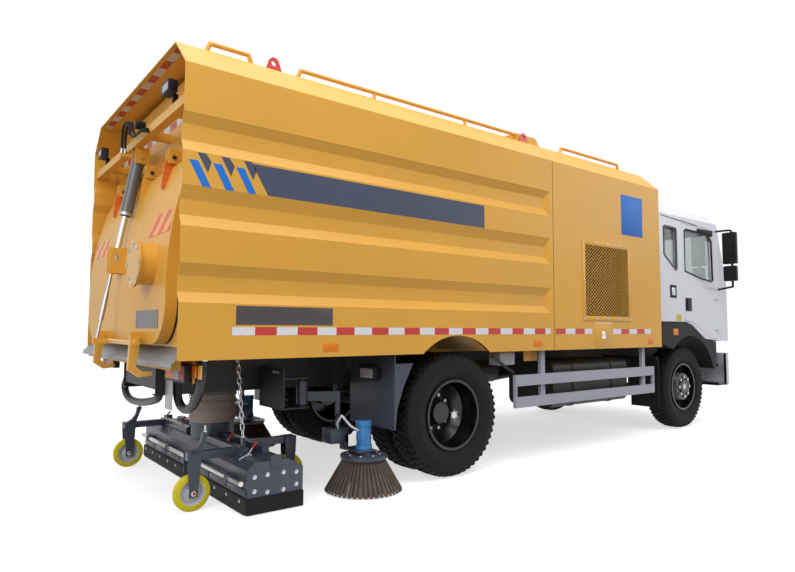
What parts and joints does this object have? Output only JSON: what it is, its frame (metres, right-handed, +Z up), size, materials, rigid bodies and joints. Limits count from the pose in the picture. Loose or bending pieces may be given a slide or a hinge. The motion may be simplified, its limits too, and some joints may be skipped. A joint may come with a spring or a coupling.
{
  "type": "vacuum street sweeper truck",
  "caption": "Cab-over truck with a corrugated vacuum hopper, bowed top-hung tailgate, full-width suction nozzle and two side brushes, with steering, tilting cab and lifting gear.",
  "frame": {"origin": "centre of the footprint, on the ground", "axes": "+Z up, +Y towards the tailgate, the cab faces -Y, the truck's right side is -X"},
  "size_m": [2.86, 7.467, 3.11],
  "materials": {
    "chassis_paint": "satin black paint",
    "iron": "cast",
    "tyre_rubber": "moulded",
    "black_rubber": "moulded",
    "lamp_plastic": "moulded",
    "body_paint": "gloss golden yellow paint",
    "steel": "zinc plated",
    "slate_paint": "slate grey paint",
    "silver_paint": "silver grey paint",
    "galvanised": "galvanised",
    "barrel_paint": "grey paint",
    "red_paint": "red paint",
    "chromed": "chromed",
    "castor_tyre": "cast polyurethane",
    "bristle": "bristles",
    "cab_paint": "gloss white paint",
    "window_glass": "clear",
    "black_plastic": "moulded",
    "cab_fabric": "woven"
  },
  "bodies": {
    "chassis": {"frame_rails": "chassis_paint", "leaf_springs": "chassis_paint", "tanks": "chassis_paint", "bumper": "chassis_paint", "rear_axle": "iron", "front_axle": "iron", "engines_and_shaft": "iron", "mud_flaps": "black_rubber", "door_seal": "black_rubber", "hoses": "black_rubber", "lamps": "lamp_plastic", "side_panel_right": "body_paint", "side_panel_left": "body_paint", "roof_panel": "body_paint", "engine_housing": "body_paint", "body_floor": "body_paint", "end_wall": "body_paint", "roof_rails": "body_paint", "wall_fittings": "body_paint", "grilles": "steel", "rear_mudguards": "slate_paint", "side_guards": "silver_paint", "apron": "galvanised", "lifting_lugs": "red_paint"},
    "knuckle_right": {"knuckle_right": "iron"},
    "knuckle_left": {"knuckle_left": "iron"},
    "wheel_front_right": {"tyre_front_right": "tyre_rubber", "rim_front_right": "chassis_paint"},
    "wheel_front_left": {"tyre_front_left": "tyre_rubber", "rim_front_left": "chassis_paint"},
    "wheels_rear_right": {"tyres_rear_right": "tyre_rubber", "rims_rear_right": "chassis_paint"},
    "wheels_rear_left": {"tyres_rear_left": "tyre_rubber", "rims_rear_left": "chassis_paint"},
    "cab": {"cab_shell": "cab_paint", "cab_glass": "window_glass", "cab_trim": "black_plastic", "cab_interior": "cab_fabric"},
    "cab_door_right": {"cab_door_right": "cab_paint", "door_glass_right": "window_glass"},
    "cab_door_left": {"cab_door_left": "cab_paint", "door_glass_left": "window_glass"},
    "tailgate": {"rear_door": "body_paint", "door_fittings": "body_paint"},
    "cylinder_barrel": {"cylinder_barrel": "barrel_paint"},
    "cylinder_rod": {"cylinder_rod": "chromed"},
    "nozzle": {"nozzle_box": "slate_paint", "nozzle_skirts": "black_rubber", "suction_duct": "black_rubber", "lift_chains": "steel"},
    "castor_rear_right": {"castor_rear_right": "castor_tyre"},
    "castor_rear_left": {"castor_rear_left": "castor_tyre"},
    "castor_front_right": {"castor_front_right": "castor_tyre"},
    "castor_front_left": {"castor_front_left": "castor_tyre"},
    "brush_arm_right": {"brush_arm_right": "slate_paint"},
    "brush_arm_left": {"brush_arm_left": "slate_paint"},
    "brush_head_right": {"brush_head_right": "slate_paint"},
    "brush_head_left": {"brush_head_left": "slate_paint"},
    "brush_right": {"brush_disc_right": "bristle"},
    "brush_left": {"brush_disc_left": "bristle"}
  },
  "joints": [
    {"name": "steer_right", "type": "hinge", "parent": "chassis", "child": "knuckle_right", "pos_m": [-0.85, -2.6685, 0.5], "axis": [0, 0, 1], "range_deg": [-35, 35]},
    {"name": "wheel_front_right_spin", "type": "hinge", "parent": "knuckle_right", "child": "wheel_front_right", "pos_m": [-0.95, -2.6685, 0.5], "axis": [1, 0, 0], "continuous": true},
    {"name": "wheels_rear_right_spin", "type": "hinge", "parent": "chassis", "child": "wheels_rear_right", "pos_m": [-0.95, 1.2815, 0.5], "axis": [1, 0, 0], "continuous": true},
    {"name": "steer_left", "type": "hinge", "parent": "chassis", "child": "knuckle_left", "pos_m": [0.85, -2.6685, 0.5], "axis": [0, 0, 1], "range_deg": [-35, 35]},
    {"name": "wheel_front_left_spin", "type": "hinge", "parent": "knuckle_left", "child": "wheel_front_left", "pos_m": [0.95, -2.6685, 0.5], "axis": [1, 0, 0], "continuous": true},
    {"name": "wheels_rear_left_spin", "type": "hinge", "parent": "chassis", "child": "wheels_rear_left", "pos_m": [0.95, 1.2815, 0.5], "axis": [1, 0, 0], "continuous": true},
    {"name": "cab_tilt", "type": "hinge", "parent": "chassis", "child": "cab", "pos_m": [0, -3.4915, 0.8], "axis": [1, 0, 0], "range_deg": [0, 45]},
    {"name": "cab_door_right_hinge", "type": "hinge", "parent": "cab", "child": "cab_door_right", "pos_m": [-1.176, -3.3645, 1.8], "axis": [0, 0, 1], "range_deg": [0, 65]},
    {"name": "cab_door_left_hinge", "type": "hinge", "parent": "cab", "child": "cab_door_left", "pos_m": [1.176, -3.3645, 1.8], "axis": [0, 0, -1], "range_deg": [0, 65]},
    {"name": "tailgate_lift", "type": "hinge", "parent": "chassis", "child": "tailgate", "pos_m": [0, 3.4085, 2.34], "axis": [1, 0, 0], "range_deg": [0, 75]},
    {"name": "cylinder_swing", "type": "hinge", "parent": "chassis", "child": "cylinder_barrel", "pos_m": [0, 3.4585, 2.48], "axis": [1, 0, 0], "range_deg": [0, 70]},
    {"name": "cylinder_stroke", "type": "slide", "parent": "cylinder_barrel", "child": "cylinder_rod", "axis": [0, 0.1783, -0.984], "range_m": [-0.165, 0]},
    {"name": "nozzle_lift", "type": "slide", "parent": "chassis", "child": "nozzle", "axis": [0, 0, 1], "range_m": [0, 0.12], "deforming": ["suction_duct", "lift_chains"]},
    {"name": "castor_rear_right_spin", "type": "hinge", "parent": "nozzle", "child": "castor_rear_right", "pos_m": [-0.795, 3.2635, 0.12], "axis": [1, 0, 0], "continuous": true},
    {"name": "castor_rear_left_spin", "type": "hinge", "parent": "nozzle", "child": "castor_rear_left", "pos_m": [0.795, 3.2635, 0.12], "axis": [1, 0, 0], "continuous": true},
    {"name": "castor_front_right_spin", "type": "hinge", "parent": "nozzle", "child": "castor_front_right", "pos_m": [-0.6, 2.4635, 0.12], "axis": [1, 0, 0], "continuous": true},
    {"name": "castor_front_left_spin", "type": "hinge", "parent": "nozzle", "child": "castor_front_left", "pos_m": [0.6, 2.4635, 0.12], "axis": [1, 0, 0], "continuous": true},
    {"name": "brush_swing_right", "type": "hinge", "parent": "chassis", "child": "brush_arm_right", "pos_m": [-0.76, 2.4385, 0.7], "axis": [0, 0, -1], "range_deg": [0, 30]},
    {"name": "brush_lift_right", "type": "slide", "parent": "brush_arm_right", "child": "brush_head_right", "axis": [0, 0, 1], "range_m": [0, 0.12]},
    {"name": "brush_spin_right", "type": "hinge", "parent": "brush_head_right", "child": "brush_right", "pos_m": [-1.04, 2.0685, 0.2], "axis": [0, 0, 1], "continuous": true},
    {"name": "brush_swing_left", "type": "hinge", "parent": "chassis", "child": "brush_arm_left", "pos_m": [0.76, 2.4385, 0.7], "axis": [0, 0, 1], "range_deg": [0, 30]},
    {"name": "brush_lift_left", "type": "slide", "parent": "brush_arm_left", "child": "brush_head_left", "axis": [0, 0, 1], "range_m": [0, 0.12]},
    {"name": "brush_spin_left", "type": "hinge", "parent": "brush_head_left", "child": "brush_left", "pos_m": [1.04, 2.0685, 0.2], "axis": [0, 0, 1], "continuous": true}
  ],
  "couplings": [
    {"joint": "steer_left", "follows": "steer_right", "ratio": 1},
    {"joint": "cylinder_swing", "follows": "tailgate_lift", "ratio": 0.9},
    {"joint": "cylinder_stroke", "follows": "tailgate_lift", "m_per_rad": -0.119}
  ]
}
